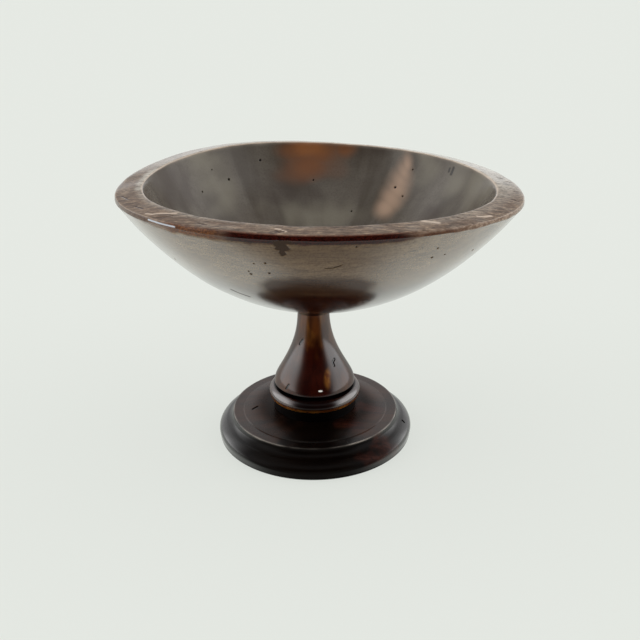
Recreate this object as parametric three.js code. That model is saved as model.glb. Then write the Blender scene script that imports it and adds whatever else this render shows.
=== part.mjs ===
// Turned pedestal bowl: a deep thick-walled wooden bowl on a flared stem and a moulded foot.
// Millimetres, Z up. The origin is on the stem's axis, at the underside of the foot.
// A reach is the pull of a curve at one end, as a share of the straight line between its ends.
import * as THREE from "three";
import { mergeVertices } from "three/addons/utils/BufferGeometryUtils.js";

// Foot: a moulded disc. Widths run inward and rises run upward from the widest edge.
const FOOT_RADIUS = 76.9;
const FOOT_EDGE_HEIGHT = 5.8;
const FOOT_BASE_INSET = 0.6;
const FOOT_BASE_CHAMFER = 0.8;
const FLANGE_WIDTH = 6;
const FLANGE_RISE = 7.2;
const FLANGE_TOP_ANGLE = 150;
const FLANGE_EDGE_REACH = 0.41;
const FLANGE_TOP_REACH = 0.33;
const COVE_WIDTH = 5.6;
const COVE_RISE = 7.4;
const COVE_START_ANGLE = 165;
const COVE_REACH = 0.4;
const ARRIS_ROUND = 0.6;
const BAND_WIDTH = 8.6;
const FIELD_STEP = 0.6;
const FIELD_RISE = 2.4;
const FIELD_ANGLE = 174;
const FIELD_REACH = 0.37;
const SEAT_MARGIN = 1.5;

// Stem: a short base, a bead, an undercut groove and a flare up to a slim neck.
const STEM_LENGTH = 80.3;
const BEAD_RADIUS = 36;
const BEAD_TUBE = 5.4;
const BEAD_HEIGHT = 12.6;
const BEAD_OVERHANG = 3.5;
const GROOVE_WIDTH = 2.8;
const GROOVE_DEPTH = 3;
const FLARE_SETBACK = 4.3;
const FLARE_REACH = 0.163;
const NECK_RADIUS = 12.3;
const NECK_REACH = 0.535;
const LOWER_TENON_RADIUS = 14;
const LOWER_TENON_LENGTH = 15;
const UPPER_SHOULDER = 3.8;
const UPPER_TENON_LENGTH = 13;
const TENON_CHAMFER = 1;

// Glue lines of the two joints.
const JOINT_GAP = 0.3;
const TENON_CLEARANCE = 0.3;
const SOCKET_SPARE_DEPTH = 0.6;

// Bowl, measured from its seat on the stem, before it warped.
const RIM_RADIUS = 139.7;
const RIM_HEIGHT = 99.3;
const RIM_WALL = 18.3;
const RIM_CANT = 2.5;
const RIM_OUTER_ROUND = 1.2;
const RIM_INNER_ROUND = 1.6;
const EDGE_BAND_HEIGHT = 3.8;
const EDGE_BAND_STEP = 0.4;
const BOSS_OVERHANG = 1.7;
const BOSS_HEIGHT = 5;
const BOSS_COVE = 2.4;
const UNDERSIDE_START_ANGLE = 20;
const UNDERSIDE_START_REACH = 0.219;
const UNDERSIDE_END_ANGLE = 56.6;
const UNDERSIDE_END_REACH = 0.597;
const FLOOR_THICKNESS = 11.9;
const INSIDE_FLOOR_REACH = 0.462;
const INSIDE_WALL_ANGLE = 66;
const INSIDE_WALL_REACH = 0.364;

// How the bowl has warped and sits on its stem. A turn is a direction, in degrees from +X.
const WARP_TURN = 6.9;
const OVAL = 0.0371;
const THIRD_LOBE = 0.0068;
const THIRD_LOBE_TURN = -20.8;
const FOURTH_LOBE = 0.0058;
const FOURTH_LOBE_TURN = -30.2;
const SADDLE = 2.26;
const THIRD_WAVE = 0.85;
const THIRD_WAVE_TURN = 1.9;
const FOURTH_WAVE = 0.65;
const FOURTH_WAVE_TURN = 39.6;
const CANT_SWING = 0.76;
const CANT_SWING_TURN = 83.5;
const LEAN_ANGLE = 1.77;
const SEAT_OFFSET = 3;
const SEAT_OFFSET_BLEND = 30;
const RIM_DRIFT = 2.7;

// Facets around and along the turned forms.
const BOWL_SEGMENTS = 64;
const FOOT_SEGMENTS = 64;
const STEM_SEGMENTS = 48;
const INSIDE_STEPS = 14;
const UNDERSIDE_STEPS = 15;
const FLARE_STEPS = 14;
const BEAD_STEPS = 10;
const MOULDING_STEPS = 5;
const ROUND_STEPS = 4;

const LEVEL = 0;
const UPRIGHT = 90;
const SHORTEST_EDGE = 0.01;

// Heights and radii that the pieces share.
const footSeatHeight = FOOT_EDGE_HEIGHT + FLANGE_RISE + COVE_RISE + FIELD_STEP + FIELD_RISE;
const stemBaseHeight = footSeatHeight + JOINT_GAP;
const stemBaseRadius = BEAD_RADIUS - BEAD_OVERHANG;
const bowlSeatHeight = stemBaseHeight + STEM_LENGTH + JOINT_GAP;
const upperTenonRadius = NECK_RADIUS - UPPER_SHOULDER;
const bossRadius = NECK_RADIUS + BOSS_OVERHANG;

const radians = THREE.MathUtils.degToRad;

const point = (radius, height) => new THREE.Vector2(radius, height);

// The point a given distance away from another, at an angle in degrees.
function offset(from, angle, distance) {
  return point(
    from.x + distance * Math.cos(radians(angle)),
    from.y + distance * Math.sin(radians(angle)),
  );
}

// A cubic curve between two profile points, with the angle and the reach of its run at each end.
function sweep(from, startAngle, startReach, to, endAngle, endReach, steps) {
  const span = from.distanceTo(to);
  const first = offset(from, startAngle, startReach * span);
  const second = offset(to, endAngle, -endReach * span);
  return new THREE.CubicBezierCurve(from, first, second, to).getPoints(steps);
}

// A round arc between two angles in degrees.
function arc(centre, size, startAngle, endAngle, steps) {
  const points = [];
  for (let i = 0; i <= steps; i += 1) {
    points.push(offset(centre, startAngle + ((endAngle - startAngle) * i) / steps, size));
  }
  return points;
}

// A corner of the profile, worn round.
function rounded(before, corner, after, size) {
  const start = corner.clone().add(before.clone().sub(corner).setLength(size));
  const end = corner.clone().add(after.clone().sub(corner).setLength(size));
  return new THREE.QuadraticBezierCurve(start, corner, end).getPoints(ROUND_STEPS);
}

// A profile turned about the Z axis as one closed body.
function turned(profile, segments) {
  const points = profile.filter((p, i) => i === 0 || p.distanceTo(profile[i - 1]) > SHORTEST_EDGE);
  const geometry = new THREE.LatheGeometry(points, segments);
  geometry.deleteAttribute("normal");
  geometry.deleteAttribute("uv");
  geometry.rotateX(Math.PI / 2);
  return mergeVertices(geometry, 1e-3);
}

function woodMesh(name, geometry, color, roughness, height) {
  const material = new THREE.MeshStandardMaterial({ color, roughness, metalness: 0 });
  const mesh = new THREE.Mesh(geometry, material);
  mesh.name = name;
  mesh.position.z = height;
  mesh.geometry.computeVertexNormals();
  return mesh;
}

// Moulded foot: flat underside, rounded edge, sloping flange, cove, band and gently domed field.
function footProfile() {
  const baseRadius = FOOT_RADIUS - FOOT_BASE_INSET;
  const edge = point(FOOT_RADIUS, FOOT_EDGE_HEIGHT);
  const flangeTop = point(FOOT_RADIUS - FLANGE_WIDTH, FOOT_EDGE_HEIGHT + FLANGE_RISE);
  const arris = point(flangeTop.x - COVE_WIDTH, flangeTop.y + COVE_RISE);
  const belowArris = point(arris.x, arris.y - ARRIS_ROUND);
  const field = point(arris.x - BAND_WIDTH, arris.y + FIELD_STEP);
  const seat = point(stemBaseRadius + SEAT_MARGIN, footSeatHeight);
  const socketRadius = LOWER_TENON_RADIUS + TENON_CLEARANCE;
  const socketFloor = stemBaseHeight - LOWER_TENON_LENGTH - SOCKET_SPARE_DEPTH;
  return [
    point(0, 0),
    point(baseRadius - FOOT_BASE_CHAMFER, 0),
    point(baseRadius, FOOT_BASE_CHAMFER),
    ...sweep(
      edge, UPRIGHT, FLANGE_EDGE_REACH, flangeTop, FLANGE_TOP_ANGLE, FLANGE_TOP_REACH, MOULDING_STEPS,
    ),
    ...sweep(
      flangeTop, COVE_START_ANGLE, COVE_REACH, belowArris, UPRIGHT, COVE_REACH, MOULDING_STEPS,
    ),
    ...rounded(belowArris, arris, point(field.x, arris.y), ARRIS_ROUND),
    point(field.x + FIELD_STEP, arris.y),
    ...sweep(field, FIELD_ANGLE, FIELD_REACH, seat, FIELD_ANGLE, FIELD_REACH, ROUND_STEPS),
    point(socketRadius + TENON_CHAMFER, footSeatHeight),
    point(socketRadius, footSeatHeight - TENON_CHAMFER),
    point(socketRadius, socketFloor),
    point(0, socketFloor),
  ];
}

// Stem from its lower shoulder: base, bead, groove, ogee flare and neck, with a round tenon at each end.
function stemProfile() {
  const beadCentre = point(BEAD_RADIUS - BEAD_TUBE, BEAD_HEIGHT);
  const baseShare = (stemBaseRadius - beadCentre.x) / BEAD_TUBE;
  const beadStart = -THREE.MathUtils.radToDeg(Math.acos(baseShare));
  const beadTop = BEAD_HEIGHT + BEAD_TUBE;
  const flare = point(BEAD_RADIUS - FLARE_SETBACK, beadTop + GROOVE_WIDTH);
  const neck = point(NECK_RADIUS, STEM_LENGTH);
  const upperEnd = STEM_LENGTH + UPPER_TENON_LENGTH;
  return [
    point(0, -LOWER_TENON_LENGTH),
    point(LOWER_TENON_RADIUS - TENON_CHAMFER, -LOWER_TENON_LENGTH),
    point(LOWER_TENON_RADIUS, TENON_CHAMFER - LOWER_TENON_LENGTH),
    point(LOWER_TENON_RADIUS, 0),
    point(stemBaseRadius, 0),
    ...arc(beadCentre, BEAD_TUBE, beadStart, UPRIGHT, BEAD_STEPS),
    point(flare.x - GROOVE_DEPTH, beadTop),
    ...sweep(flare, UPRIGHT, FLARE_REACH, neck, UPRIGHT, NECK_REACH, FLARE_STEPS),
    point(upperTenonRadius, STEM_LENGTH),
    point(upperTenonRadius, upperEnd - TENON_CHAMFER),
    point(upperTenonRadius - TENON_CHAMFER, upperEnd),
    point(0, upperEnd),
  ];
}

// Bowl from its seat: socket, boss, underside, edge band, canted rim and inside.
function bowlProfile() {
  const socketRadius = upperTenonRadius + TENON_CLEARANCE;
  const socketDepth = UPPER_TENON_LENGTH - JOINT_GAP + SOCKET_SPARE_DEPTH;
  const bossTop = point(bossRadius, BOSS_HEIGHT);
  const undersideEnd = point(RIM_RADIUS - EDGE_BAND_STEP, RIM_HEIGHT - EDGE_BAND_HEIGHT);
  const outerEdge = point(RIM_RADIUS, RIM_HEIGHT);
  const innerEdge = point(RIM_RADIUS - RIM_WALL, RIM_HEIGHT + RIM_CANT);
  const insideFloor = point(0, socketDepth + FLOOR_THICKNESS);
  const underside = sweep(
    bossTop, UNDERSIDE_START_ANGLE, UNDERSIDE_START_REACH,
    undersideEnd, UNDERSIDE_END_ANGLE, UNDERSIDE_END_REACH, UNDERSIDE_STEPS,
  );
  const inside = sweep(
    insideFloor, LEVEL, INSIDE_FLOOR_REACH,
    innerEdge, INSIDE_WALL_ANGLE, INSIDE_WALL_REACH, INSIDE_STEPS,
  ).reverse();
  return [
    point(0, socketDepth),
    point(socketRadius, socketDepth),
    point(socketRadius, TENON_CHAMFER),
    point(socketRadius + TENON_CHAMFER, 0),
    point(bossRadius, 0),
    ...rounded(point(bossRadius, 0), bossTop, underside[1], BOSS_COVE),
    ...underside.slice(1),
    point(RIM_RADIUS, undersideEnd.y + EDGE_BAND_STEP),
    ...rounded(undersideEnd, outerEdge, innerEdge, RIM_OUTER_ROUND),
    ...rounded(outerEdge, innerEdge, inside[1], RIM_INNER_ROUND),
    ...inside.slice(1),
  ];
}

// A wave around the rim: a given number of lobes, one of them at a turn in degrees.
function lobes(count, angle, turn) {
  return Math.cos(count * (angle - radians(turn)));
}

// The warp of the bowl: nothing over the boss, growing to its full amount at the rim.
function warpBowl(geometry) {
  const position = geometry.getAttribute("position");
  const smooth = THREE.MathUtils.smoothstep;
  const width = RIM_RADIUS - bossRadius;
  const leanSlope = Math.tan(radians(LEAN_ANGLE));
  for (let i = 0; i < position.count; i += 1) {
    const height = position.getZ(i);
    const radius = Math.hypot(position.getX(i), position.getY(i));
    const angle = Math.atan2(position.getY(i), position.getX(i));
    const spread = Math.max(0, (radius - bossRadius) / width);
    const climb = THREE.MathUtils.clamp(height / RIM_HEIGHT, 0, 1);
    const free = smooth(radius, bossRadius, bossRadius + SEAT_OFFSET_BLEND);
    const across = smooth(RIM_RADIUS - radius, 0, RIM_WALL) * smooth(climb, 0.5, 1);
    const stretch = OVAL * lobes(2, angle, WARP_TURN)
      + THIRD_LOBE * lobes(3, angle, THIRD_LOBE_TURN)
      + FOURTH_LOBE * lobes(4, angle, FOURTH_LOBE_TURN);
    const wave = THIRD_WAVE * lobes(3, angle, THIRD_WAVE_TURN)
      + FOURTH_WAVE * lobes(4, angle, FOURTH_WAVE_TURN)
      - SADDLE * lobes(2, angle, WARP_TURN);
    const lift = wave * spread * spread + CANT_SWING * across * lobes(1, angle, CANT_SWING_TURN);
    const lean = leanSlope * width * spread * lobes(1, angle, WARP_TURN);
    const warped = radius * (1 + stretch * spread);
    const drift = free * RIM_DRIFT * climb;
    const x = warped * Math.cos(angle) + free * SEAT_OFFSET + drift * Math.cos(radians(WARP_TURN));
    const y = warped * Math.sin(angle) + drift * Math.sin(radians(WARP_TURN));
    position.setXYZ(i, x, y, height + lift - lean);
  }
  return geometry;
}

const foot = woodMesh("foot", turned(footProfile(), FOOT_SEGMENTS), 0x2b211c, 0.35, 0);
const stem = woodMesh("stem", turned(stemProfile(), STEM_SEGMENTS), 0x3a1a10, 0.22, stemBaseHeight);
const bowlBody = warpBowl(turned(bowlProfile(), BOWL_SEGMENTS));
const bowl = woodMesh("bowl", bowlBody, 0x5a4a3e, 0.4, bowlSeatHeight);

const group = new THREE.Group();
group.add(foot, stem, bowl);

export default group;
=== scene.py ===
# A turned wooden pedestal bowl: a worn, warped bowl on a polished stem and a dark moulded foot.
# Sizes are in millimetres, as on the part, and become metres where a mesh is made.
import math

import bmesh
import bpy
import numpy as np
from mathutils import Matrix, Vector
from mathutils.bvhtree import BVHTree


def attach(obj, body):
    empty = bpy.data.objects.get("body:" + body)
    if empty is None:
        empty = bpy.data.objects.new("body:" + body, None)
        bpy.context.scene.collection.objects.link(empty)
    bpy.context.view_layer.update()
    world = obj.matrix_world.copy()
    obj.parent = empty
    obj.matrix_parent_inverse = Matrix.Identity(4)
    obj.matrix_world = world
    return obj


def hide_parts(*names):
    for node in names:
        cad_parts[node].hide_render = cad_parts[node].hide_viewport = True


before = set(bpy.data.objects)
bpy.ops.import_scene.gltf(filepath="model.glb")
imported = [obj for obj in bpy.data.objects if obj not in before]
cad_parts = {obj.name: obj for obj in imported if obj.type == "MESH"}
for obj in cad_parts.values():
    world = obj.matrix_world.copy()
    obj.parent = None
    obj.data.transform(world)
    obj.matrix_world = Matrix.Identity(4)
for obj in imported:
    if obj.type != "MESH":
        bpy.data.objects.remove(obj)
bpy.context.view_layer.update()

MM = 0.001

# The photograph's camera, in its 640 pixel frame.
IMAGE_SIZE = 640
FOCAL_PIXELS = 850
CAMERA_BACK = 599.5
CAMERA_HEIGHT = 356.8
CAMERA_YAW = 0.47
CAMERA_PITCH = 23.59
CAMERA_ROLL = -0.72
SENSOR_WIDTH = 36
CLIP_START = 50
CLIP_END = 50000

# Foot, as on the part.
FOOT_RADIUS = 76.9
FOOT_EDGE_HEIGHT = 5.8
FOOT_BASE_INSET = 0.6
FOOT_BASE_CHAMFER = 0.8
FLANGE_WIDTH = 6
FLANGE_RISE = 7.2
FLANGE_TOP_ANGLE = 150
FLANGE_EDGE_REACH = 0.41
FLANGE_TOP_REACH = 0.33
COVE_WIDTH = 5.6
COVE_RISE = 7.4
COVE_START_ANGLE = 165
COVE_REACH = 0.4
ARRIS_ROUND = 0.6
BAND_WIDTH = 8.6
FIELD_STEP = 0.6
FIELD_RISE = 2.4
FIELD_ANGLE = 174
FIELD_REACH = 0.37
SEAT_MARGIN = 1.5

# Stem, as on the part.
STEM_LENGTH = 80.3
BEAD_RADIUS = 36
BEAD_TUBE = 5.4
BEAD_HEIGHT = 12.6
BEAD_OVERHANG = 3.5
GROOVE_WIDTH = 2.8
GROOVE_DEPTH = 3
FLARE_SETBACK = 4.3
FLARE_REACH = 0.163
NECK_RADIUS = 12.3
NECK_REACH = 0.535
LOWER_TENON_RADIUS = 14
LOWER_TENON_LENGTH = 15
UPPER_SHOULDER = 3.8
UPPER_TENON_LENGTH = 13
TENON_CHAMFER = 1
JOINT_GAP = 0.3
TENON_CLEARANCE = 0.3
SOCKET_SPARE_DEPTH = 0.6

# Bowl, as on the part, measured from its seat on the stem, before it warped.
RIM_RADIUS = 139.7
RIM_HEIGHT = 99.3
RIM_WALL = 18.3
RIM_CANT = 2.5
RIM_OUTER_ROUND = 1.2
RIM_INNER_ROUND = 1.6
EDGE_BAND_HEIGHT = 3.8
EDGE_BAND_STEP = 0.4
BOSS_OVERHANG = 1.7
BOSS_HEIGHT = 5
BOSS_COVE = 2.4
UNDERSIDE_START_ANGLE = 20
UNDERSIDE_START_REACH = 0.219
UNDERSIDE_END_ANGLE = 56.6
UNDERSIDE_END_REACH = 0.597
FLOOR_THICKNESS = 11.9
INSIDE_FLOOR_REACH = 0.462
INSIDE_WALL_ANGLE = 66
INSIDE_WALL_REACH = 0.364
WARP_TURN = 6.9
OVAL = 0.0371
THIRD_LOBE = 0.0068
THIRD_LOBE_TURN = -20.8
FOURTH_LOBE = 0.0058
FOURTH_LOBE_TURN = -30.2
SADDLE = 2.26
THIRD_WAVE = 0.85
THIRD_WAVE_TURN = 1.9
FOURTH_WAVE = 0.65
FOURTH_WAVE_TURN = 39.6
CANT_SWING = 0.76
CANT_SWING_TURN = 83.5
CANT_SWING_START = 0.5
LEAN_ANGLE = 1.77
SEAT_OFFSET = 3
SEAT_OFFSET_BLEND = 30
RIM_DRIFT = 2.7

# How finely the meshes are turned, how many points of a curve a rounded corner replaces, and how
# far the meshes stay inside the part.
BOWL_SEGMENTS = 600
STEM_SEGMENTS = 256
FOOT_SEGMENTS = 384
BOWL_STEP = 1.5
SMALL_STEP = 0.8
FINE_STEP = 0.5
BEAD_STEPS = 28
CORNER_STEPS = 7
CORNER_POINTS = 4
CURVE_MIN_POINTS = 6
CURVE_SLACK = 1.1
SAME_POINT = 0.02
SKIN = 0.05

foot_seat = FOOT_EDGE_HEIGHT + FLANGE_RISE + COVE_RISE + FIELD_STEP + FIELD_RISE
stem_base = foot_seat + JOINT_GAP
stem_base_radius = BEAD_RADIUS - BEAD_OVERHANG
bowl_seat = stem_base + STEM_LENGTH + JOINT_GAP
upper_tenon_radius = NECK_RADIUS - UPPER_SHOULDER
boss_radius = NECK_RADIUS + BOSS_OVERHANG


# Camera
def camera_axes():
    """Right, up and forward directions of the photograph's camera."""
    yaw, pitch, roll = (math.radians(a) for a in (CAMERA_YAW, CAMERA_PITCH, CAMERA_ROLL))
    forward = Vector((
        math.sin(yaw) * math.cos(pitch), math.cos(yaw) * math.cos(pitch), -math.sin(pitch),
    ))
    level = Vector((math.cos(yaw), -math.sin(yaw), 0))
    rise = level.cross(forward)
    right = math.cos(roll) * level + math.sin(roll) * rise
    up = math.cos(roll) * rise - math.sin(roll) * level
    return right, up, forward


def camera_place():
    return Vector((0, -CAMERA_BACK, CAMERA_HEIGHT)) * MM


def make_camera():
    data = bpy.data.cameras.new("camera")
    data.sensor_width = SENSOR_WIDTH
    data.lens = SENSOR_WIDTH * FOCAL_PIXELS / IMAGE_SIZE
    data.clip_start = CLIP_START * MM
    data.clip_end = CLIP_END * MM
    camera = bpy.data.objects.new("camera", data)
    right, up, forward = camera_axes()
    turn = Matrix((right, up, -forward)).transposed()
    camera.matrix_world = Matrix.Translation(camera_place()) @ turn.to_4x4()
    bpy.context.scene.collection.objects.link(camera)
    bpy.context.scene.camera = camera


def seen_at(tree, pixel):
    """The point of a surface that the photograph shows at a pixel, in millimetres."""
    right, up, forward = camera_axes()
    across = (pixel[0] - IMAGE_SIZE / 2) / FOCAL_PIXELS
    down = (pixel[1] - IMAGE_SIZE / 2) / FOCAL_PIXELS
    hit = tree.ray_cast(camera_place(), (forward + across * right - down * up).normalized())
    if hit[0] is None:
        raise ValueError(f"nothing is seen at pixel {pixel}")
    return np.array(hit[0]) / MM


# Profiles
def point(radius, height):
    return np.array((radius, height), float)


def toward(start, angle, distance):
    return start + distance * point(math.cos(math.radians(angle)), math.sin(math.radians(angle)))


def sweep(start, start_angle, start_reach, end, end_angle, end_reach, step):
    """A cubic curve with the angle and reach of its run at each end, in steps of about one size."""
    span = np.linalg.norm(end - start)
    first = toward(start, start_angle, start_reach * span)
    second = toward(end, end_angle, -end_reach * span)
    t = np.linspace(0, 1, max(CURVE_MIN_POINTS, math.ceil(CURVE_SLACK * span / step)))[:, None]
    back = 1 - t
    return back**3 * start + 3 * back**2 * t * first + 3 * back * t**2 * second + t**3 * end


def rounded(before, corner, after, size):
    start = corner + size * (before - corner) / np.linalg.norm(before - corner)
    end = corner + size * (after - corner) / np.linalg.norm(after - corner)
    t = np.linspace(0, 1, CORNER_STEPS)[:, None]
    return (1 - t) ** 2 * start + 2 * (1 - t) * t * corner + t**2 * end


def joined(pieces, step):
    """One outline through all the pieces, with its long straight runs cut into steps."""
    points = [np.atleast_2d(p) for p in pieces]
    outline = [points[0][0]]
    for target in np.vstack(points)[1:]:
        gap = np.linalg.norm(target - outline[-1])
        if gap < SAME_POINT:
            continue
        cuts = max(1, math.ceil(gap / step))
        start = outline[-1]
        outline += [start + (target - start) * (i + 1) / cuts for i in range(cuts)]
    return np.array(outline)


def path_along(outline):
    """How far along an outline each of its points is."""
    return np.concatenate([[0], np.cumsum(np.linalg.norm(np.diff(outline, axis=0), axis=1))])


def foot_outline():
    base = FOOT_RADIUS - FOOT_BASE_INSET
    edge = point(FOOT_RADIUS, FOOT_EDGE_HEIGHT)
    flange_top = edge + point(-FLANGE_WIDTH, FLANGE_RISE)
    arris = flange_top + point(-COVE_WIDTH, COVE_RISE)
    below_arris = arris - point(0, ARRIS_ROUND)
    field = arris + point(-BAND_WIDTH, FIELD_STEP)
    seat = point(stem_base_radius + SEAT_MARGIN, foot_seat)
    socket = LOWER_TENON_RADIUS + TENON_CLEARANCE
    floor = stem_base - LOWER_TENON_LENGTH - SOCKET_SPARE_DEPTH
    return joined([
        point(0, 0),
        point(base - FOOT_BASE_CHAMFER, 0),
        point(base, FOOT_BASE_CHAMFER),
        sweep(
            edge, 90, FLANGE_EDGE_REACH, flange_top, FLANGE_TOP_ANGLE, FLANGE_TOP_REACH, FINE_STEP,
        ),
        sweep(flange_top, COVE_START_ANGLE, COVE_REACH, below_arris, 90, COVE_REACH, FINE_STEP),
        rounded(below_arris, arris, point(field[0], arris[1]), ARRIS_ROUND),
        point(field[0] + FIELD_STEP, arris[1]),
        sweep(field, FIELD_ANGLE, FIELD_REACH, seat, FIELD_ANGLE, FIELD_REACH, SMALL_STEP),
        point(socket + TENON_CHAMFER, foot_seat),
        point(socket, foot_seat - TENON_CHAMFER),
        point(socket, floor),
        point(0, floor),
    ], SMALL_STEP)


def stem_outline():
    bead = point(BEAD_RADIUS - BEAD_TUBE, stem_base + BEAD_HEIGHT)
    bead_start = -math.degrees(math.acos((stem_base_radius - bead[0]) / BEAD_TUBE))
    bead_arc = [toward(bead, a, BEAD_TUBE) for a in np.linspace(bead_start, 90, BEAD_STEPS)]
    bead_top = bead[1] + BEAD_TUBE
    flare = point(BEAD_RADIUS - FLARE_SETBACK, bead_top + GROOVE_WIDTH)
    neck = point(NECK_RADIUS, stem_base + STEM_LENGTH)
    lower_end = stem_base - LOWER_TENON_LENGTH
    upper_end = neck[1] + UPPER_TENON_LENGTH
    return joined([
        point(0, lower_end),
        point(LOWER_TENON_RADIUS - TENON_CHAMFER, lower_end),
        point(LOWER_TENON_RADIUS, lower_end + TENON_CHAMFER),
        point(LOWER_TENON_RADIUS, stem_base),
        point(stem_base_radius, stem_base),
        *bead_arc,
        point(flare[0] - GROOVE_DEPTH, bead_top),
        sweep(flare, 90, FLARE_REACH, neck, 90, NECK_REACH, SMALL_STEP),
        point(upper_tenon_radius, neck[1]),
        point(upper_tenon_radius, upper_end - TENON_CHAMFER),
        point(upper_tenon_radius - TENON_CHAMFER, upper_end),
        point(0, upper_end),
    ], SMALL_STEP)


def bowl_outline():
    """The bowl's outline, and how far along it its underside, band, rim and inside start."""
    socket = upper_tenon_radius + TENON_CLEARANCE
    depth = UPPER_TENON_LENGTH - JOINT_GAP + SOCKET_SPARE_DEPTH
    boss_top = point(boss_radius, BOSS_HEIGHT)
    underside_end = point(RIM_RADIUS - EDGE_BAND_STEP, RIM_HEIGHT - EDGE_BAND_HEIGHT)
    outer = point(RIM_RADIUS, RIM_HEIGHT)
    inner = point(RIM_RADIUS - RIM_WALL, RIM_HEIGHT + RIM_CANT)
    underside = sweep(
        boss_top, UNDERSIDE_START_ANGLE, UNDERSIDE_START_REACH,
        underside_end, UNDERSIDE_END_ANGLE, UNDERSIDE_END_REACH, BOWL_STEP,
    )
    inside = sweep(
        point(0, depth + FLOOR_THICKNESS), 0, INSIDE_FLOOR_REACH,
        inner, INSIDE_WALL_ANGLE, INSIDE_WALL_REACH, BOWL_STEP,
    )[::-1]
    outline = joined([
        point(0, depth),
        point(socket, depth),
        point(socket, TENON_CHAMFER),
        point(socket + TENON_CHAMFER, 0),
        point(boss_radius, 0),
        rounded(point(boss_radius, 0), boss_top, underside[CORNER_POINTS], BOSS_COVE),
        underside[CORNER_POINTS:],
        point(RIM_RADIUS, underside_end[1] + EDGE_BAND_STEP),
        rounded(underside_end, outer, inner, RIM_OUTER_ROUND),
        rounded(outer, inner, inside[CORNER_POINTS], RIM_INNER_ROUND),
        inside[CORNER_POINTS:],
    ], BOWL_STEP)
    path = path_along(outline)
    marks = [
        path[np.linalg.norm(outline - mark, axis=1).argmin()]
        for mark in (boss_top, underside_end, outer, inner)
    ]
    return outline, path, marks


def lobes(count, angle, turn):
    """A wave around the rim: a given number of lobes, one of them at a turn in degrees."""
    return np.cos(count * (angle - math.radians(turn)))


def warp(plain):
    """The bowl's warp: nothing over the boss, growing to its full amount at the rim."""
    width = RIM_RADIUS - boss_radius
    radius = np.hypot(plain[:, 0], plain[:, 1])
    angle = np.arctan2(plain[:, 1], plain[:, 0])
    height = plain[:, 2]
    spread = np.maximum(0, (radius - boss_radius) / width)
    climb = np.clip(height / RIM_HEIGHT, 0, 1)
    free = smooth(radius, boss_radius, boss_radius + SEAT_OFFSET_BLEND)
    across = smooth(RIM_RADIUS - radius, 0, RIM_WALL) * smooth(climb, CANT_SWING_START, 1)
    stretch = OVAL * lobes(2, angle, WARP_TURN)
    stretch += THIRD_LOBE * lobes(3, angle, THIRD_LOBE_TURN)
    stretch += FOURTH_LOBE * lobes(4, angle, FOURTH_LOBE_TURN)
    wave = THIRD_WAVE * lobes(3, angle, THIRD_WAVE_TURN)
    wave += FOURTH_WAVE * lobes(4, angle, FOURTH_WAVE_TURN)
    wave -= SADDLE * lobes(2, angle, WARP_TURN)
    lift = wave * spread**2 + CANT_SWING * across * lobes(1, angle, CANT_SWING_TURN)
    lean = math.tan(math.radians(LEAN_ANGLE)) * width * spread * lobes(1, angle, WARP_TURN)
    warped = radius * (1 + stretch * spread)
    drift = free * RIM_DRIFT * climb
    turn = math.radians(WARP_TURN)
    return np.stack([
        warped * np.cos(angle) + free * SEAT_OFFSET + drift * math.cos(turn),
        warped * np.sin(angle) + drift * math.sin(turn),
        bowl_seat + height + lift - lean,
    ], axis=1)


# Small tools on arrays of points
RIPPLE_WAVES = 14
RIPPLE_SIZES = (0.7, 1.7)


def smooth(value, low, high):
    t = np.clip((value - low) / (high - low), 0, 1)
    return t * t * (3 - 2 * t)


def fade(value, low, high):
    return 1 - smooth(value, low, high)


def window(value, edges):
    """0 up to the first of four edges, 1 between the middle two and 0 again from the last."""
    return smooth(value, *edges[:2]) * fade(value, *edges[2:])


def bell(offset, width):
    return np.exp(-((offset / width) ** 2))


def ripple(points, size, seed):
    """Smooth random hills about one size across, from about -1 to 1."""
    random = np.random.default_rng(seed)
    total = np.zeros(len(points))
    for _ in range(RIPPLE_WAVES):
        direction = random.normal(size=3)
        direction /= np.linalg.norm(direction)
        wave = size * random.uniform(*RIPPLE_SIZES)
        total += np.cos(points @ direction * (2 * math.pi / wave) + random.uniform(0, 2 * math.pi))
    return total / math.sqrt(RIPPLE_WAVES)


def near_line(points, line):
    """Distance from each point to a line through the given places."""
    best = np.full(len(points), np.inf)
    for start, end in zip(line[:-1], line[1:]):
        run = end - start
        t = np.clip((points - start) @ run / (run @ run), 0, 1)
        best = np.minimum(best, np.linalg.norm(points - start - t[:, None] * run, axis=1))
    return best


# Turned meshes
def turned(name, outline, path, segments, form=None):
    """A closed mesh turned from an outline whose ends are on the axis."""
    angles = np.linspace(0, 2 * math.pi, segments, endpoint=False)
    rings = outline[1:-1]
    radius, height = rings[:, :1], np.repeat(rings[:, 1:], segments, 1)
    ring_points = np.stack([radius * np.cos(angles), radius * np.sin(angles), height], axis=-1)
    first, last = (0, 0, outline[0][1]), (0, 0, outline[-1][1])
    plain = np.vstack([ring_points.reshape(-1, 3), first, last])
    along = np.concatenate([np.repeat(path[1:-1], segments), [path[0], path[-1]]])
    count = len(rings)
    start_pole, end_pole = count * segments, count * segments + 1
    faces = []
    column = np.arange(segments)
    following = (column + 1) % segments
    for i in range(count - 1):
        low, high = i * segments, (i + 1) * segments
        corners = [low + column, low + following, high + following, high + column]
        faces += np.stack(corners, axis=1).tolist()
    faces += [[start_pole, b, a] for a, b in zip(column.tolist(), following.tolist())]
    top = (count - 1) * segments
    faces += [[end_pole, top + a, top + b] for a, b in zip(column.tolist(), following.tolist())]
    mesh = bpy.data.meshes.new(name)
    mesh.from_pydata((form(plain) if form else plain) * MM, [], faces)
    store(mesh, "path", along)
    store(mesh, "plain", plain)
    mesh.update()
    piece = bpy.data.objects.new(name, mesh)
    bpy.context.scene.collection.objects.link(piece)
    return piece


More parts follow.
